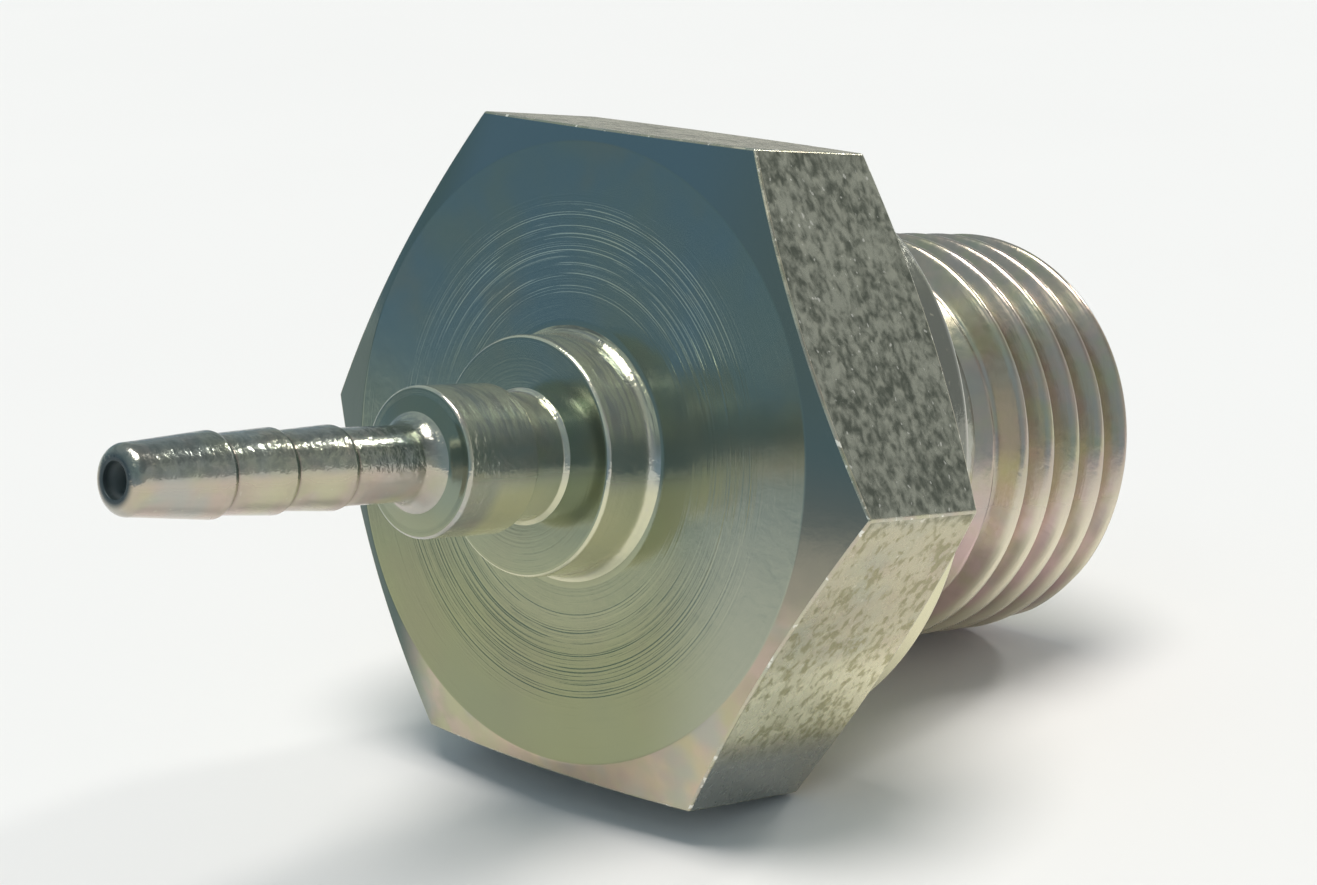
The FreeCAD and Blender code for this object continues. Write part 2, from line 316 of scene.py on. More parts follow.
def divide(piece, low, high, cuts):
    """Add points to the edge between two neighbouring points of the outline."""
    middle = Vector(((low.x + high.x) / 2, 0, (low.y + high.y) / 2))
    pick_edges(piece, lambda e: ((e.verts[0].co + e.verts[1].co) / 2 - middle).length < DOUBLES)
    bpy.ops.mesh.subdivide(number_cuts=cuts)


def spin_and_close(piece):
    """Spin the outline round the axis, and bridge its two ends, which leaves the narrow bore."""
    bpy.ops.mesh.select_mode(type="VERT")
    bpy.ops.mesh.select_all(action="SELECT")
    bpy.ops.mesh.spin(steps=STEPS_ROUND, angle=2 * math.pi, center=(0, 0, 0), axis=(1, 0, 0))
    bpy.ops.mesh.select_all(action="SELECT")
    bpy.ops.mesh.remove_doubles(threshold=DOUBLES)
    pick_edges(piece, lambda e: e.is_boundary)
    bpy.ops.mesh.bridge_edge_loops()
    if any(e.is_boundary for e in bmesh.from_edit_mesh(piece.data).edges):
        raise RuntimeError("the blank isn't closed")


class FITTING_OT_turn(bpy.types.Operator):
    """Draw the outline of the fitting and spin it into a round blank"""
    bl_idname = "fitting.turn"
    bl_label = "Turn the blank"

    def execute(self, context):
        points, threaded = outline(Drawing(context.scene.fitting_sizes))
        piece = draw(points)
        for low, high, cuts in zip(threaded, threaded[1:], THREAD_ROWS):
            divide(piece, low, high, cuts)
        spin_and_close(piece)
        bpy.ops.mesh.select_all(action="SELECT")
        # half a step round, so that the hexagon's corners fall between two rings of points
        half = math.pi / STEPS_ROUND
        bpy.ops.transform.rotate(value=half, orient_axis="X", center_override=(0, 0, 0))
        bpy.ops.mesh.normals_make_consistent(inside=False)
        bpy.ops.object.mode_set(mode="OBJECT")
        return {"FINISHED"}


# The hexagon

FLAT_POINTS = 20                         # a milled flat is the only face with more points than this
FLARE_TOP = 1.3                          # radius up to which the root flare counts as turned
LEVEL = 0.999                            # a normal leans at least this far from the axis on a flat
UPRIGHT = 0.45                           # and at most this far on a faced end
SHARP_ANGLE = math.radians(40.0)         # edges of the hexagon that turn by more are worn
SMOOTH_ANGLE = math.radians(32.0)        # edges that turn by less are shaded smooth


class FITTING_OT_mill(bpy.types.Operator):
    """Cut the six flats of the hexagon"""
    bl_idname = "fitting.mill"
    bl_label = "Mill the hexagon"

    def execute(self, context):
        piece = the_piece()
        only(piece)
        reach = Drawing(context.scene.fitting_sizes).flat
        bpy.ops.object.mode_set(mode="EDIT")
        for k in range(6):
            turn = math.radians(60.0 * k)
            outwards = Vector((0.0, -math.sin(turn), math.cos(turn)))
            bpy.ops.mesh.select_mode(type="FACE")
            bpy.ops.mesh.select_all(action="SELECT")
            bpy.ops.mesh.bisect(
                plane_co=outwards * reach, plane_no=outwards,
                use_fill=True, clear_outer=True, threshold=1e-5)
        bpy.ops.mesh.select_all(action="SELECT")
        bpy.ops.mesh.remove_doubles(threshold=DOUBLES)
        bpy.ops.mesh.normals_make_consistent(inside=False)
        bpy.ops.object.mode_set(mode="OBJECT")
        if not any(len(p.vertices) > FLAT_POINTS for p in piece.data.polygons):
            raise RuntimeError("the flats weren't filled")
        return {"FINISHED"}


def surface_kind(face, at):
    """The slot of a face, by where it lies and which way it looks."""
    x, r, lean = face.center.x, off_axis(face.center), off_axis(face.normal)
    on_flat = lean > LEVEL and at.front < x < at.back and r > at.flat - 0.01
    on_hex_end = at.front - 0.001 <= x < at.back + 0.001 and r > at.collar + at.collar_root
    on_collar_end = x < at.front and r > FLARE_TOP and lean < UPRIGHT
    if len(face.vertices) > FLAT_POINTS or on_flat:
        return MILLED
    if on_hex_end or on_collar_end:
        return FACED
    if x > at.shoulder and r > at.thread - at.thread_depth - 0.5:
        return THREADED
    if r < at.narrow + 0.1:
        return BORED
    return TURNED


class FITTING_OT_break_edges(bpy.types.Operator):
    """Sort the surfaces by how they are made and round the hexagon's edges"""
    bl_idname = "fitting.break_edges"
    bl_label = "Break the edges"

    def execute(self, context):
        at = Drawing(context.scene.fitting_sizes)
        piece = the_piece()
        only(piece)
        for _ in FINISHES:
            piece.data.materials.append(None)
        for p in piece.data.polygons:
            p.material_index = surface_kind(p, at)

        def sharp_edge(e):
            """Whether it is an edge between the hexagon's flats and chamfers."""
            return e.calc_face_angle(0.0) > SHARP_ANGLE and all(
                at.front - 0.01 < v.co.x < at.back + 0.01 and off_axis(v.co) > at.seal + 0.3
                for v in e.verts)

        def chamfer_line(e):
            """Whether it lies on the circle where a turned face meets its chamfer."""
            return abs(e.calc_face_angle(0.0) - CHAMFER_ANGLE) < math.radians(5.0) and all(
                abs(off_axis(v.co) - at.face) < 0.02 for v in e.verts)

        bpy.ops.object.mode_set(mode="EDIT")
        pick_edges(piece, sharp_edge)
        bpy.ops.mesh.bevel(offset=at.edge_break, offset_type="WIDTH", segments=3, profile=0.5,
                           material=EDGES, clamp_overlap=True)
        pick_edges(piece, chamfer_line)
        bpy.ops.mesh.bevel(offset=at.face_break, offset_type="WIDTH", segments=3, profile=0.5,
                           clamp_overlap=True)
        bpy.ops.object.mode_set(mode="OBJECT")
        bpy.ops.object.shade_smooth_by_angle(angle=SMOOTH_ANGLE)
        return {"FINISHED"}


# The thread

STUD_SKIN = 5.0                          # points of the stud nearer to the axis are in the port, and stay


def below_crest(u, at):
    """Depth of the thread form at a distance u from the middle of a crest."""
    arc = at.thread_round * math.cos(FLANK_ANGLE)
    if u < arc:
        return at.thread_round - math.sqrt(at.thread_round ** 2 - u * u)
    if u > at.thread_pitch / 2 - arc:
        v = at.thread_pitch / 2 - u
        return at.thread_depth - at.thread_round + math.sqrt(at.thread_round ** 2 - v * v)
    return at.thread_round * (1 - math.sin(FLANK_ANGLE)) + (u - arc) / math.tan(FLANK_ANGLE)


def from_crest(co, at):
    """Distance along the axis from a point to the nearest crest of the helix."""
    turn = math.atan2(co.z, co.y) / (2 * math.pi)
    along = (co.x - at.thread_crest) / at.thread_pitch - turn
    return abs(along - round(along)) * at.thread_pitch


class FITTING_OT_thread(bpy.types.Operator):
    """Cut the right-hand parallel pipe thread into the stud"""
    bl_idname = "fitting.thread"
    bl_label = "Cut the thread"

    def execute(self, context):
        at = Drawing(context.scene.fitting_sizes)
        piece = the_piece()
        for v in piece.data.vertices:
            r = off_axis(v.co)
            if v.co.x <= at.shoulder + 0.001 or r < STUD_SKIN:
                continue
            wanted = min(r, at.thread - below_crest(from_crest(v.co, at), at))
            v.co.y *= wanted / r
            v.co.z *= wanted / r
        for e in piece.data.edges:
            a, b = (piece.data.vertices[i].co for i in e.vertices)
            if min(a.x, b.x) > at.shoulder and max(a.x, b.x) < at.end - 0.01 and off_axis(a) > STUD_SKIN:
                e.use_edge_sharp = False
        piece.data.update()
        only(piece)
        bpy.ops.object.modifier_add(type="WEIGHTED_NORMAL")
        piece.modifiers[-1].keep_sharp = True
        bpy.ops.object.modifier_apply(modifier=piece.modifiers[-1].name)
        return {"FINISHED"}


class FITTING_OT_lay_down(bpy.types.Operator):
    """Bring the fitting to metres and lay it on the table, on a flat and the end of its thread"""
    bl_idname = "fitting.lay_down"
    bl_label = "Lay it down"

    def execute(self, context):
        piece = the_piece()
        only(piece)
        bpy.ops.object.mode_set(mode="EDIT")
        bpy.ops.mesh.select_all(action="SELECT")
        bpy.ops.transform.resize(value=(1 / MM,) * 3, center_override=(0, 0, 0))
        bpy.ops.transform.rotate(value=-REST_TILT, orient_axis="Y", center_override=(0, 0, 0))
        bpy.ops.object.mode_set(mode="OBJECT")
        tip = min(piece.data.vertices, key=lambda v: v.co.x).co
        if tip.z < 0:
            raise RuntimeError("the fitting was turned the wrong way")
        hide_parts(NODE)
        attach(piece, BODY)
        return {"FINISHED"}


# Helpers for materials

class Nodes:
    """Adds nodes to a tree and joins them. A value is a number, a tuple or another node's output."""

    def __init__(self, tree):
        self.tree = tree

    def add(self, kind, values=(), **settings):
        n = self.tree.nodes.new(kind)
        for name, value in settings.items():
            setattr(n, name, value)
        for name, value in dict(values).items():
            self.put(n.inputs[name], value)
        return n

    def put(self, socket, value):
        if isinstance(value, bpy.types.NodeSocket):
            self.tree.links.new(value, socket)
        elif value is not None:
            socket.default_value = (*value, 1.0) if socket.type == "RGBA" else value

    def math(self, operation, a, b=None):
        n = self.tree.nodes.new("ShaderNodeMath")
        n.operation = operation
        for i, value in enumerate((a, b)):
            self.put(n.inputs[i], value)
        return n.outputs[0]

    def product(self, *values):
        """The product of all the values, which for masks is where they meet."""
        total = values[0]
        for value in values[1:]:
            total = self.math("MULTIPLY", total, value)
        return total

    def vector(self, operation, a, b=None, scale=None):
        n = self.tree.nodes.new("ShaderNodeVectorMath")
        n.operation = operation
        self.put(n.inputs[0], a)
        self.put(n.inputs[1], b)
        if scale is not None:
            self.put(n.inputs["Scale"], scale)
        return n.outputs["Value"] if operation == "DOT_PRODUCT" else n.outputs["Vector"]

    def mix(self, share, a, b, blend="MIX"):
        """Colour a where share is 0, and b, or a blended with b, where it is 1."""
        n = self.tree.nodes.new("ShaderNodeMix")
        n.data_type = "RGBA"
        n.blend_type = blend
        self.put(n.inputs["Factor"], share)
        self.put(n.inputs[6], a)
        self.put(n.inputs[7], b)
        return n.outputs[2]

    def steps(self, value, low, high, to_low=0.0, to_high=1.0):
        """A smooth step from to_low to to_high while value goes from low to high."""
        n = self.add("ShaderNodeMapRange", interpolation_type="SMOOTHSTEP")
        for name, v in (("Value", value), ("From Min", low), ("From Max", high),
                        ("To Min", to_low), ("To Max", to_high)):
            self.put(n.inputs[name], v)
        return n.outputs["Result"]

    def falls(self, value, low, high, most=1.0):
        """A smooth step down from most to nothing while value goes from low to high."""
        return self.steps(value, low, high, most, 0.0)

    def noise(self, place, scale, detail=2.0, roughness=0.5, dimensions="3D", distortion=0.0):
        n = self.add("ShaderNodeTexNoise", noise_dimensions=dimensions)
        self.put(n.inputs["W" if dimensions == "1D" else "Vector"], place)
        for name, v in (("Scale", scale), ("Detail", detail), ("Roughness", roughness),
                        ("Distortion", distortion)):
            self.put(n.inputs[name], v)
        return n.outputs[0]


class Group(Nodes):
    """A shader node group with named inputs (name, kind, default) and outputs (name, kind)."""

    def __init__(self, name, inputs, outputs):
        super().__init__(bpy.data.node_groups.new(name, "ShaderNodeTree"))
        for label, kind, default in inputs:
            socket = self.tree.interface.new_socket(
                name=label, in_out="INPUT", socket_type="NodeSocket" + kind)
            if default is not None:
                socket.default_value = default
        for label, kind in outputs:
            self.tree.interface.new_socket(name=label, in_out="OUTPUT", socket_type="NodeSocket" + kind)
        self.given = self.add("NodeGroupInput").outputs

    def give_out(self, values):
        """Join these values to the group's outputs."""
        self.add("NodeGroupOutput", values)
        return self.tree


def make_axis_place():
    """Where a point is, in millimetres along and round the fitting's own axis."""
    n = Group("axis_place", [], [
        ("Place", "Vector"), ("Along", "Float"), ("Radius", "Float"),
        ("Around", "Vector"), ("Across", "Vector")])
    on_piece = n.add("ShaderNodeTexCoord").outputs["Object"]
    place = n.add("ShaderNodeMapping", {
        "Vector": on_piece, "Rotation": (0.0, -REST_TILT, 0.0), "Scale": (MM, MM, MM)}).outputs[0]
    x, y, z = n.add("ShaderNodeSeparateXYZ", {0: place}).outputs
    radius = n.math("SQRT", n.math("ADD", n.product(y, y), n.product(z, z)))
    axis = (math.cos(REST_TILT), 0.0, -math.sin(REST_TILT))
    surface = n.add("ShaderNodeNewGeometry").outputs["Normal"]
    groove = n.vector("NORMALIZE", n.vector("CROSS_PRODUCT", axis, on_piece))
    around = n.vector("NORMALIZE", n.add("ShaderNodeCombineXYZ", {1: y, 2: z}).outputs[0])
    across = n.vector("CROSS_PRODUCT", groove, surface)
    return n.give_out({"Place": place, "Along": x, "Radius": radius, "Around": around, "Across": across})


def make_turning_marks():
    """Grooves that the turning tool leaves round the axis: fine all over, deep and broken in patches."""
    n = Group("turning_marks", [
        ("Distance", "Float", 0.0), ("Around", "Vector", None), ("Across", "Vector", None),
        ("Fineness", "Float", 9.0), ("Fine", "Float", 0.05), ("Deep", "Float", 0.1)],
        [("Normal", "Vector"), ("Rings", "Float")])
    along = n.product(n.given["Distance"], n.given["Fineness"])
    fine = n.noise(n.product(along, 3.1), 1.0, 2.0, 0.6, "1D")
    ridge = n.noise(along, 1.0, 2.0, 0.6, "1D")
    place = n.vector("SCALE", n.given["Around"], scale=1.3)
    drift = n.add("ShaderNodeCombineXYZ", {0: n.product(along, 0.45)}).outputs[0]
    rings = n.steps(n.noise(n.vector("ADD", place, drift), 1.0, 3.0, 0.65), 0.41, 0.55)
    fine = n.product(n.math("SUBTRACT", fine, 0.5), n.given["Fine"], 2.0)
    deep = n.product(n.math("SUBTRACT", ridge, 0.5), n.given["Deep"], 2.0, rings)
    slope = n.vector("SCALE", n.given["Across"], scale=n.math("ADD", fine, deep))
    surface = n.add("ShaderNodeNewGeometry").outputs["Normal"]
    return n.give_out({"Normal": n.vector("NORMALIZE", n.vector("ADD", surface, slope)), "Rings": rings})


def make_passivation():
    """Clouds of olive, rose and blue tint over the zinc."""
    n = Group("passivation", [
        ("Place", "Vector", None), ("Zinc", "Color", None), ("Olive", "Color", None),
        ("Rose", "Color", None), ("Blue", "Color", None), ("Size", "Float", 3.0),
        ("Amount", "Float", 0.7)], [("Color", "Color")])
    p = n.vector("SCALE", n.given["Place"], scale=n.math("DIVIDE", 1.0, n.given["Size"]))
    first = n.steps(n.noise(p, 1.0, 3.0, 0.55), 0.42, 0.66)
    second = n.steps(n.noise(n.vector("ADD", p, (17.3, 4.1, 9.7)), 1.3, 3.0, 0.6), 0.45, 0.68)
    third = n.steps(n.noise(n.vector("ADD", p, (3.9, 31.2, 15.1)), 0.8, 2.0, 0.5), 0.48, 0.70)
    c = n.given["Zinc"]
    for clouds, tint in ((first, "Olive"), (second, "Rose"), (third, "Blue")):
        c = n.mix(n.product(clouds, n.given["Amount"]), c, n.given[tint])
    return n.give_out({"Color": c})


def make_small_dents():
    """Uneven skin from drawing and barrel plating: soft dents and blotches, and a mask of a few bright
    specks, chips on the turned surfaces and painted glints on the flats.
    """
    n = Group("small_dents", [
        ("Place", "Vector", None), ("Size", "Float", 0.4), ("Stretch", "Float", 1.0)],
        [("Height", "Float"), ("Blotches", "Float"), ("Specks", "Float")])
    p = n.vector("SCALE", n.given["Place"], scale=n.math("DIVIDE", 1.0, n.given["Size"]))
    stretch = n.add("ShaderNodeCombineXYZ", {0: n.given["Stretch"], 1: 1.0, 2: 1.0}).outputs[0]
    p = n.vector("MULTIPLY", p, stretch)
    height = n.noise(p, 1.0, 3.0, 0.52, distortion=0.3)
    blotches = n.steps(n.noise(n.vector("ADD", p, (9.0, 1.0, 4.0)), 0.8, 3.0, 0.55), 0.50, 0.62)
    specks_and_glints = n.steps(n.noise(n.vector("ADD", p, (5.0, 8.0, 2.0)), 1.5, 1.0, 0.5), 0.70, 0.76)
    return n.give_out({"Height": height, "Blotches": blotches, "Specks": specks_and_glints})


class Finish(Nodes):
    """The nodes of one plated surface, which share the groups above."""

    def __init__(self, name, groups, plating):
        self.material = bpy.data.materials.new(name)
        self.material.use_nodes = True
        super().__init__(self.material.node_tree)
        self.shader = self.tree.nodes["Principled BSDF"]
        self.groups = groups
        self.plating = plating
        where = self.group("axis_place")
        self.place, self.along, self.radius = where["Place"], where["Along"], where["Radius"]
        self.around, self.across = where["Around"], where["Across"]
        _, self.y, self.z = self.add("ShaderNodeSeparateXYZ", {0: self.place}).outputs

    def group(self, name, values=()):
        """Outputs of a shared group with these inputs."""
        return self.add("ShaderNodeGroup", values, node_tree=self.groups[name]).outputs

    def tint(self, size, amount, **changes):
        """Clouds of tint over the zinc, in the plating's own colours or those given here."""
        p = self.plating
        colours = {"zinc": p.zinc, "olive": p.olive, "rose": p.rose, "blue": p.steel_blue}
        colours.update(changes)
        return self.group("passivation", {
            "Place": self.place, "Zinc": colours["zinc"], "Olive": colours["olive"],
            "Rose": colours["rose"], "Blue": colours["blue"], "Size": size, "Amount": amount})["Color"]

    def rings(self, fineness, fine, deep):
        """Turning marks: the normal that they give, and the mask of the deep rings."""
        distance = self.math("ADD", self.along, self.product(self.radius, 1.37))
        return self.group("turning_marks", {
            "Distance": distance, "Around": self.around, "Across": self.across,
            "Fineness": fineness, "Fine": fine, "Deep": deep})

    def dented(self, size, depth, normal=None, stretch=1.0, share=1.0):
        """Small dents of that size and depth in millimetres: their normal, and the group's outputs."""
        dents = self.group("small_dents", {"Place": self.place, "Size": size, "Stretch": stretch})
        height = self.product(dents["Height"], share)
        bump = self.add("ShaderNodeBump", {"Distance": depth / MM, "Height": height, "Normal": normal})
        return bump.outputs[0], dents

    def plated(self, colour, roughness, normal, metallic=METALLIC):
        """Join these values to the shader, which makes the material complete."""
        for name, value in (("Base Color", colour), ("Roughness", roughness),
                            ("Metallic", metallic), ("Normal", normal)):
            self.put(self.shader.inputs[name], value)
        return self.material


# The turned surfaces. Lengths are in millimetres, and n.z is the height above the fitting's own axis

class TurnedZones:
    """Masks of the turned surfaces."""

    def __init__(self, n, at):
        first, last = at.hollows[0], at.hollows[-1]
        # the tail up to the neck, all in front of the hexagon, and the underside
        self.tail = n.falls(n.along, at.neck - 0.75, at.neck + 0.25)
        self.fore = n.falls(n.along, at.front + 0.05, at.front + 0.2)
        self.low = n.falls(n.z, -0.4, 0.2)
        # the top of the neck and the stop collar
        self.crown = n.product(n.steps(n.z, 0.6, 1.5), n.math("SUBTRACT", self.fore, self.tail))
        # the stretch with the barbs, and the stem behind them
        self.barbs = n.product(self.tail, n.steps(n.along, first - 0.5, first - 0.3),
                               n.falls(n.along, last + 0.3, last + 0.5))
        self.stem = n.product(self.tail, n.steps(n.along, last - 1.0, last + 0.6))
        # distance from the nearest hollow behind a barb
        self.hollow = n.math("PINGPONG", n.math("SUBTRACT", n.along, first), at.barb_pitch / 2)


def turned_tints(n, at, zone):
    """Rose below and darker grey above on the tail, the grey being painted shade; pale olive under the neck
    and pale warm below beyond the hexagon, tints with painted light.
    """
    # Painted shade: the tail's top half is a darker grey than its rose underside.
    tail_zinc_painted_shade = n.mix(n.steps(n.z, -0.1, 0.35), (0.565, 0.465, 0.385), (0.345, 0.365, 0.335))
    zinc = n.mix(zone.tail, (0.52, 0.52, 0.465), tail_zinc_painted_shade)
    # Painted light: the underside behind the hexagon is paler and warmer.
    undercut = n.product(n.steps(n.along, at.back - 1.5, at.back + 0.5), n.falls(n.z, -4.5, -1.0))
    zinc = n.mix(undercut, zinc, (0.72, 0.66, 0.52))
    clouds = n.math("ADD", 0.3, n.product(zone.tail, zone.low, 0.2))
    base = n.tint(1.6, clouds, zinc=zinc)
    # Olive tint with painted light: paler on the underside from the neck back.
    olive = n.product(n.steps(n.along, at.neck + 0.85, at.neck + 1.45), n.falls(n.z, -0.7, 0.1, 0.8))
    base = n.mix(olive, base, (0.80, 0.77, 0.51))
    # darker rose in the hollows behind the barbs, olive on the barbs' undersides
    rose = n.product(zone.barbs, n.falls(zone.hollow, 0.02, 0.09, 0.6))
    base = n.mix(rose, base, (0.40, 0.31, 0.27))
    underside = n.product(zone.barbs, zone.low, n.steps(zone.hollow, 0.3, 0.9, 0.0, 0.35))
    return n.mix(underside, base, (0.60, 0.60, 0.40))


def turned_painted_shade(n, at, zone, base):
    """Painted shade: darker at the tail's mouth, and above at the stop collar's root, the sealing rim and
    the undercut.
    """
    # Painted shade in the mouth of the bore.
    mouth = n.product(n.falls(n.along, at.tip + 0.2, at.tip + 0.5),
                      n.falls(n.radius, at.narrow + 0.08, at.narrow + 0.30))
    base = n.mix(mouth, base, (0.07, 0.09, 0.095))
    # Painted shade above, at the stop collar's root, on the sealing rim and above the undercut.
    root = n.product(zone.fore, n.steps(n.radius, at.collar + 0.02, at.collar + 0.20),
                     n.steps(n.z, 0.2, 1.2))
    rim = n.product(n.steps(n.radius, at.seal - 2.0, at.seal - 1.0), n.falls(n.along, -0.30, -0.15),
                    n.steps(n.z, -1.5, 1.5, 0.0, 0.85))
    behind = n.product(n.steps(n.along, 0.1, 0.4, 0.0, 0.5), n.steps(n.z, -0.5, 2.0),
                       n.falls(n.along, at.shoulder + 0.2, at.shoulder + 0.6))
    shade = n.math("MAXIMUM", behind, n.math("MAXIMUM", root, rim))
    return n.mix(shade, base, (0.19, 0.20, 0.17))


def turned_relief(n, at, zone, rings):
    """Broad and fine dents over the rings, fainter on the underside and beyond the hexagon."""
    even = n.steps(n.along, at.back - 1.5, at.back, 1.0, 0.4)
    broad = n.product(even, n.math("SUBTRACT", 1.0, n.product(zone.tail, zone.low, 0.75)))
    normal, dents = n.dented(0.24, 0.014, rings["Normal"], share=broad)
    on_top = n.math("ADD", 1.0, n.product(zone.tail, n.steps(n.z, 0.3, 0.7, 0.0, 0.6)))
    fine = n.product(n.math("SUBTRACT", 1.0, n.product(zone.low, 0.9)), on_top, even)
    normal, speckle = n.dented(0.26, 0.013, normal, share=fine)
    return normal, dents, speckle["Height"]


def turned_metallic(n, zone):
    """Less metallic below, in front of the hexagon, most of all on the stem, and a little on the crown."""
    hollows = n.product(zone.barbs, n.falls(zone.hollow, 0.1, 0.6, 0.35))
    matt = n.math("ADD", n.math("ADD", 0.30, n.product(zone.stem, 0.33)), hollows)
    metallic = n.math("SUBTRACT", METALLIC, n.product(zone.low, zone.fore, matt))
    return n.math("SUBTRACT", metallic, n.product(zone.crown, 0.14))


def turned_zinc(n, at):
    """Stop collar, neck, tail, sealing collar and undercut."""
    zone = TurnedZones(n, at)
    base = turned_painted_shade(n, at, zone, turned_tints(n, at, zone))
    rings = n.rings(9.0, 0.03, n.math("SUBTRACT", 0.10, n.product(zone.tail, 0.07)))
    # Painted highlights: pale olive where the broken rings lie on the crown.
    base = n.mix(n.product(rings["Rings"], 0.5, zone.crown), base, (0.90, 0.88, 0.62))
    normal, dents, speckle = turned_relief(n, at, zone, rings)
    # Dark mottle on the tail's top only: painted shade that breaks up its highlight.
    mottle_and_painted_shade = n.product(zone.tail, n.steps(n.z, 0.0, 0.4), n.falls(speckle, 0.36, 0.62, 0.5))
    base = n.mix(mottle_and_painted_shade, base, (0.20, 0.225, 0.205))
    base = n.mix(n.product(dents["Specks"], 0.4), base, n.plating.bare)
    soft = n.product(zone.tail, n.steps(n.z, 0.0, 0.4, 0.0, 0.06))
    roughness = n.math("ADD", soft, n.steps(dents["Height"], 0.3, 0.7, 0.11, 0.17))
    return n.plated(base, roughness, normal, turned_metallic(n, zone))


# The faced ends of the hexagon, the neck and the stop collar

def faced_flat(n):
    """The flat faces, with a painted reflection: bluish above and olive below, and painted light, paler
    towards the stop collar and on the right.
    """
    # Painted reflection: bluish above and olive below.
    zinc = n.mix(n.steps(n.z, -6.0, 4.0), (0.315, 0.33, 0.188), (0.193, 0.27, 0.272))
    base = n.tint(5.0, 0.3, zinc=zinc, olive=(0.295, 0.31, 0.17), rose=(0.30, 0.28, 0.19),
                  blue=(0.25, 0.28, 0.21))
    # Painted light below, towards the stop collar.
    inner_painted_light = n.product(n.falls(n.radius, 4.6, 6.2, 0.4), n.falls(n.z, -3.0, -0.8))
    base = n.mix(inner_painted_light, base, (0.46, 0.47, 0.31))
    # Painted reflection of the neck and stop collar: paler on the right.
    band = n.product(n.falls(n.y, -7.5, -3.5, 0.75), n.falls(n.z, -0.5, 2.5))
    return n.mix(band, base, (0.44, 0.45, 0.36))


def faced_chamfer(n):
    """The chamfers, with a painted reflection: dark blue above, warmer on the right, cream with rose clouds
    below, and painted shade on the left corner.
    """
    # Painted reflection: cream below, dark blue above, warmer on the right.
    zinc = n.mix(n.steps(n.y, -8.8, -5.2), (0.42, 0.365, 0.275), (0.72, 0.57, 0.42))
    zinc = n.mix(n.steps(n.y, 0.0, 4.0), zinc, (0.43, 0.40, 0.28))
    cream = n.tint(1.6, 0.5, zinc=zinc, rose=(0.62, 0.46, 0.40))
    right = n.falls(n.y, -8.0, -3.0)
    warm = n.mix(n.steps(n.z, -0.5, 2.0), (0.27, 0.257, 0.203), (0.19, 0.235, 0.212))
    above = n.mix(right, (0.169, 0.253, 0.29), warm)
    height = n.math("SUBTRACT", n.z, n.product(right, 1.8))
    height = n.math("ADD", height, n.product(n.noise(n.place, 0.8), 2.5))
    base = n.mix(n.steps(height, -5.5, -1.5), cream, above)
    # Painted shade on the left corner: near black below, dark teal higher up.
    left_corner_painted_shade = n.mix(n.steps(n.z, 1.5, 4.0), (0.042, 0.082, 0.068), (0.14, 0.20, 0.178))
    return n.mix(n.steps(n.y, 4.5, 7.0), base, left_corner_painted_shade)


def faced_zinc(n, at):
    """Faced ends, with deep rings in a band between the stop collar and the chamfer."""
    base = n.mix(n.steps(n.radius, at.face - 0.03, at.face + 0.03), faced_flat(n), faced_chamfer(n))
    band = n.product(n.steps(n.radius, 4.4, 5.2), n.falls(n.radius, 6.8, 7.8))
    rings = n.rings(12.0, 0.03, n.math("ADD", 0.05, n.product(band, 0.42)))
    normal, _ = n.dented(0.60, 0.003, rings["Normal"])
    return n.plated(base, 0.16, normal)


# The flats, the thread, the edges and the bore

def milled_colour(n, light, upper):
    """Spots where light is 0. The upper flats are darker, and the lower flats brightest two thirds down,
    darker above that and greyer at their foot, all painted light and shade.
    """
    # Painted light: the lower flats brighter two thirds down.
    belly_painted_light = n.product(n.falls(n.z, -5.5, -4.0), n.steps(n.z, -7.6, -6.6))
    # Painted shade: darker spots and a darker pale on the upper flats.
    spots = n.mix(upper, (0.42, 0.41, 0.27), (0.13, 0.145, 0.12))
    spots = n.mix(belly_painted_light, spots, (0.60, 0.575, 0.375))
    pale = n.tint(1.6, 0.3, zinc=(0.67, 0.645, 0.49), olive=(0.62, 0.62, 0.42))
    pale = n.mix(upper, pale, (0.44, 0.45, 0.375))
    pale = n.mix(belly_painted_light, pale, (1.0, 0.97, 0.74))
    base = n.mix(light, spots, pale)
    # Painted shade: darker on the upper part of the lower flats.
    head_painted_shade = n.product(n.steps(n.z, -4.6, -3.0), n.math("SUBTRACT", 1.0, upper))
    base = n.mix(head_painted_shade, base, (0.79, 0.79, 0.80), "MULTIPLY")
    # Painted shade: greyer at the foot of the lower flats, near the table.
    return n.mix(n.falls(n.z, -8.2, -7.0, 0.9), base, (0.43, 0.455, 0.46))


def milled_zinc(n, at):
    """The flats: drawn bar stock with shallow dimples, the upper ones the more blotchy."""
    upper = n.steps(n.z, -0.6, 0.2)
    normal, dents = n.dented(0.36, 0.015, stretch=1.3)
    cloud = n.math("SUBTRACT", n.noise(n.place, 0.45), 0.5)
    skin = n.math("ADD", dents["Height"], n.product(cloud, 0.45))
    light = n.steps(skin, n.math("SUBTRACT", 0.34, n.product(upper, 0.06)),
                    n.math("ADD", 0.52, n.product(upper, 0.18)))
    # Near-white specks, more on the upper flats: bright chips and painted glints.
    specks_and_glints = n.product(dents["Specks"], n.math("ADD", 0.2, n.product(upper, 0.35)))
    base = n.mix(specks_and_glints, milled_colour(n, light, upper), (1.0, 0.98, 0.90))
    n.put(n.shader.inputs["Specular Tint"], (1.0, 0.90, 0.74))
    return n.plated(base, n.steps(dents["Blotches"], 0.0, 1.0, 0.27, 0.34), normal)


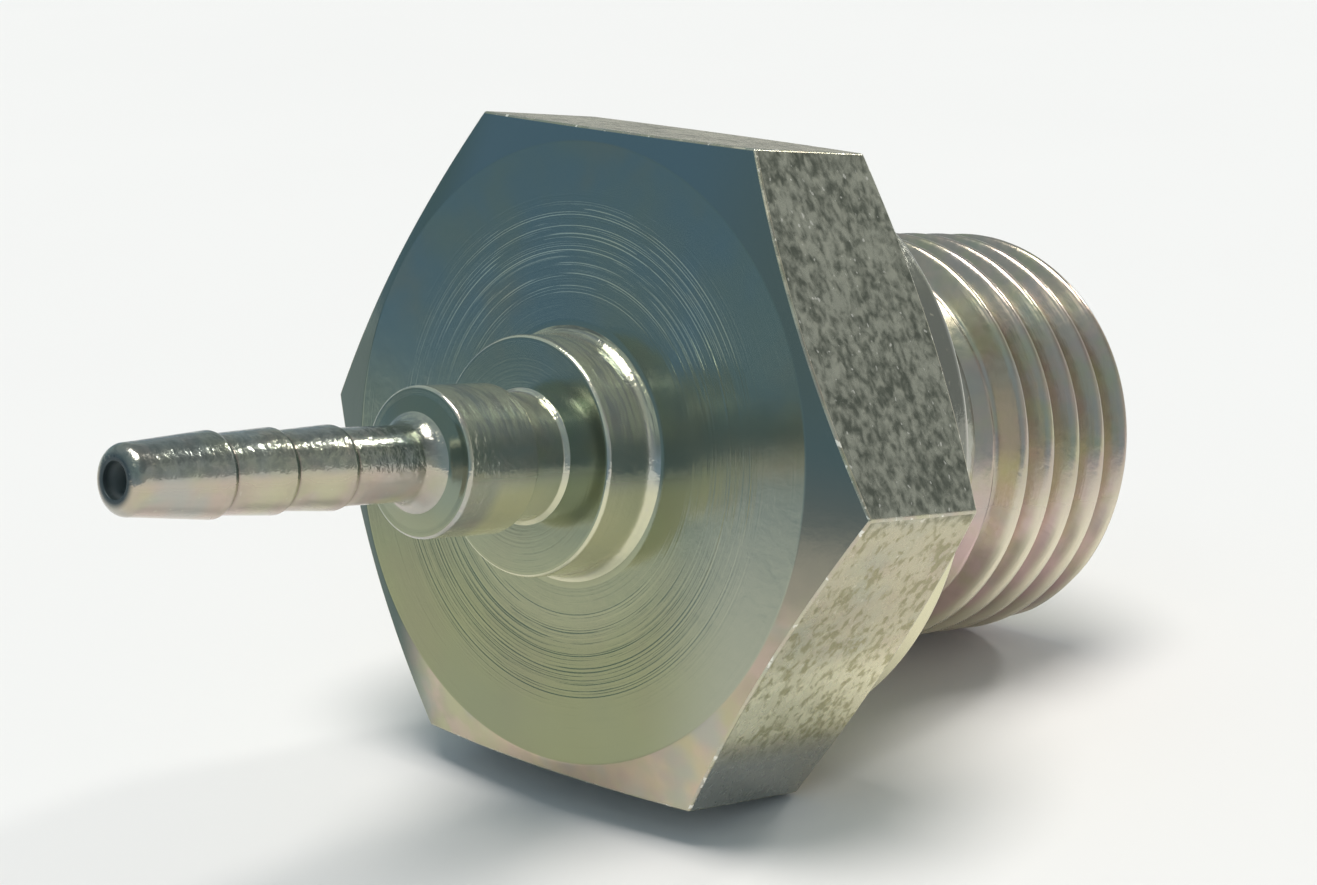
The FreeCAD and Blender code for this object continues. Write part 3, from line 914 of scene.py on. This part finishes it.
def threaded_zinc(n, at):
    """The thread: rose tint, pinkest and brightest on the underside as painted light, with painted
    highlights as pale crests there.
    """
    # Rose tint with painted light: paler and pinker on the underside, darker above.
    zinc = n.mix(n.falls(n.z, -3.2, 0.4), (0.53, 0.46, 0.385), (0.76, 0.56, 0.54))
    base = n.tint(1.6, 0.5, zinc=zinc, rose=(0.60, 0.45, 0.41), blue=(0.47, 0.48, 0.43))
    # Painted highlights: pale crests on the underside only.
    crest = n.product(n.steps(n.radius, 6.25, 6.5, 0.0, 0.9), n.falls(n.z, -2.5, 0.5))
    base = n.mix(crest, base, (0.86, 0.80, 0.62))
    normal, dents = n.dented(0.26, 0.006, n.rings(8.0, 0.03, 0.05)["Normal"])
    roughness = n.steps(dents["Height"], 0.3, 0.7, 0.19, 0.26)
    return n.plated(base, roughness, normal, n.steps(n.z, -2.0, 0.5, 0.68, METALLIC))


def edge_zinc(n, at):
    """The hexagon's edges: rubbed in places, with small bright chips."""
    worn = n.steps(n.noise(n.place, 1.3, 4.0, 0.6), 0.48, 0.62)
    chips = n.steps(n.noise(n.place, 3.4), 0.61, 0.68)
    base = n.mix(n.product(worn, 0.3), n.tint(1.0, 0.4), n.plating.bare)
    base = n.mix(chips, base, (0.95, 0.92, 0.81))
    normal, _ = n.dented(0.22, 0.010)
    metallic = n.steps(chips, 0.0, 1.0, METALLIC, 0.45)
    return n.plated(base, n.steps(worn, 0.0, 1.0, 0.25, 0.35), normal, metallic)


def bored_zinc(n, at):
    """The tail's bore: duller, with painted shade dark at the mouth."""
    base = n.tint(1.5, 0.3, zinc=(0.33, 0.38, 0.39), olive=(0.34, 0.36, 0.32), rose=(0.36, 0.35, 0.34))
    # Painted shade at the mouth of the bore.
    base = n.mix(n.falls(n.along, at.tip + 0.1, at.tip + 0.4), base, (0.05, 0.07, 0.075))
    rings = n.rings(6.0, 0.06, 0.1)
    return n.plated(base, n.steps(rings["Rings"], 0.0, 1.0, 0.40, 0.50), rings["Normal"], 0.4)


FINISHES = (turned_zinc, faced_zinc, milled_zinc, threaded_zinc, edge_zinc, bored_zinc)


class FITTING_OT_plate(bpy.types.Operator):
    """Give every surface its zinc plating"""
    bl_idname = "fitting.plate"
    bl_label = "Plate it"

    def execute(self, context):
        slots = the_piece().material_slots
        if len(slots) != len(FINISHES):
            raise RuntimeError("the surfaces aren't sorted yet")
        at = Drawing(context.scene.fitting_sizes)
        groups = {"axis_place": make_axis_place(), "turning_marks": make_turning_marks(),
                  "passivation": make_passivation(), "small_dents": make_small_dents()}
        for slot, make in zip(slots, FINISHES):
            slot.material = make(Finish(make.__name__, groups, context.scene.fitting_plating), at)
        return {"FINISHED"}


# The stage

CAMERA_PLACE = (-0.06706634, -0.062939, 0.02907761)
CAMERA_TURN = (72.526255, 3.323001, -46.302395)      # degrees
CAMERA_LENS = 85.2                                   # millimetres, on a sensor of the width below
CAMERA_SENSOR = 36.0


def make_table(ground):
    """A matt pale table top, far wider than the view."""
    bpy.ops.object.select_all(action="DESELECT")
    bpy.ops.mesh.primitive_circle_add(vertices=96, radius=3.0, fill_type="NGON", location=(0, 0, ground))
    table = bpy.context.object
    table.name = "table"
    material = bpy.data.materials.new("pale_table")
    material.use_nodes = True
    n = Nodes(material.node_tree)
    shader = material.node_tree.nodes["Principled BSDF"]
    cloud = n.noise(n.add("ShaderNodeTexCoord").outputs["Object"], 35.0, 3.0)
    n.put(shader.inputs["Base Color"], n.mix(cloud, (0.79, 0.79, 0.785), (0.81, 0.81, 0.805)))
    n.put(shader.inputs["Roughness"], 0.9)
    n.put(shader.inputs["Specular IOR Level"], 0.2)
    table.data.materials.append(material)


def add_sun(name, towards, strength, angle, colour):
    """A soft light from that direction. angle is its width in degrees."""
    back = Vector(towards).normalized()
    turn = back.to_track_quat("Z", "Y").to_euler()
    bpy.ops.object.light_add(type="SUN", location=back * 0.5, rotation=turn)
    lamp = bpy.context.object
    lamp.name = lamp.data.name = name
    lamp.data.energy = strength
    lamp.data.angle = math.radians(angle)
    lamp.data.color = colour


def make_room(scene):
    """The surroundings that the plating mirrors: bluish on the side of the tail, grey on the other."""
    world = bpy.data.worlds.new("room")
    scene.world = world
    world.use_nodes = True
    n = Nodes(world.node_tree)
    direction = n.add("ShaderNodeTexCoord").outputs["Generated"]
    side = n.vector("DOT_PRODUCT", direction, (0.80, -0.60, 0.0))
    height = n.add("ShaderNodeSeparateXYZ", {0: direction}).outputs[2]
    bluish = n.mix(n.steps(height, 0.08, 0.35), (0.25, 0.352, 0.44), (0.27, 0.355, 0.40))
    grey = n.mix(n.steps(height, 0.42, 0.62), (0.44, 0.46, 0.46), (0.20, 0.22, 0.23))
    background = world.node_tree.nodes["Background"]
    n.put(background.inputs["Color"], n.mix(n.steps(side, -0.4, 0.9), bluish, grey))


def add_camera(scene):
    """The photograph's camera, fitted to the outlines of the hexagon, neck, tail and thread."""
    bpy.ops.object.camera_add(location=CAMERA_PLACE, rotation=tuple(math.radians(a) for a in CAMERA_TURN))
    camera = bpy.context.object
    camera.name = camera.data.name = "camera"
    camera.data.lens = CAMERA_LENS
    camera.data.sensor_width = CAMERA_SENSOR
    camera.data.clip_start = 0.001
    camera.data.clip_end = 20.0
    scene.camera = camera


class FITTING_OT_studio(bpy.types.Operator):
    """Set up the table, the lights, the surroundings and the camera"""
    bl_idname = "fitting.studio"
    bl_label = "Set the stage"

    def execute(self, context):
        make_table(CAD_BOX[0].z)
        add_sun("overhead", (0.0, 0.0, 1.0), 2.44, 34.0, (1.0, 0.94, 0.89))
        add_sun("key", (0.825, -0.085, 0.56), 0.55, 7.0, (1.0, 0.985, 0.93))
        add_sun("window", (-0.61, -0.08, 0.757), 0.028, 8.0, (1.0, 0.98, 0.85))
        make_room(context.scene)
        add_camera(context.scene)
        context.scene.view_settings.view_transform = "Standard"
        return {"FINISHED"}


class FITTING_PT_panel(bpy.types.Panel):
    """Lists the steps that make the fitting, its sizes and its colours"""
    bl_idname = "FITTING_PT_panel"
    bl_label = "Crimp hose fitting"
    bl_space_type = "VIEW_3D"
    bl_region_type = "UI"
    bl_category = "Fitting"

    def draw(self, context):
        for step in STEPS:
            self.layout.operator(step.bl_idname)
        scene = context.scene
        for kind, group in ((FittingSizes, scene.fitting_sizes), (FittingPlating, scene.fitting_plating)):
            box = self.layout.box()
            for name in kind.__annotations__:
                box.prop(group, name)


STEPS = (FITTING_OT_turn, FITTING_OT_mill, FITTING_OT_break_edges, FITTING_OT_thread, FITTING_OT_lay_down,
         FITTING_OT_plate, FITTING_OT_studio)
CLASSES = (FittingSizes, FittingPlating) + STEPS + (FITTING_PT_panel,)


def register():
    for c in CLASSES:
        bpy.utils.register_class(c)
    bpy.types.Scene.fitting_sizes = bpy.props.PointerProperty(type=FittingSizes)
    bpy.types.Scene.fitting_plating = bpy.props.PointerProperty(type=FittingPlating)


def unregister():
    del bpy.types.Scene.fitting_plating
    del bpy.types.Scene.fitting_sizes
    for c in reversed(CLASSES):
        bpy.utils.unregister_class(c)


def main():
    register()
    bpy.ops.fitting.turn()
    bpy.ops.fitting.mill()
    bpy.ops.fitting.break_edges()
    bpy.ops.fitting.thread()
    bpy.ops.fitting.lay_down()
    bpy.ops.fitting.plate()
    bpy.ops.fitting.studio()
    bpy.context.view_layer.update()


if __name__ == "__main__":
    main()
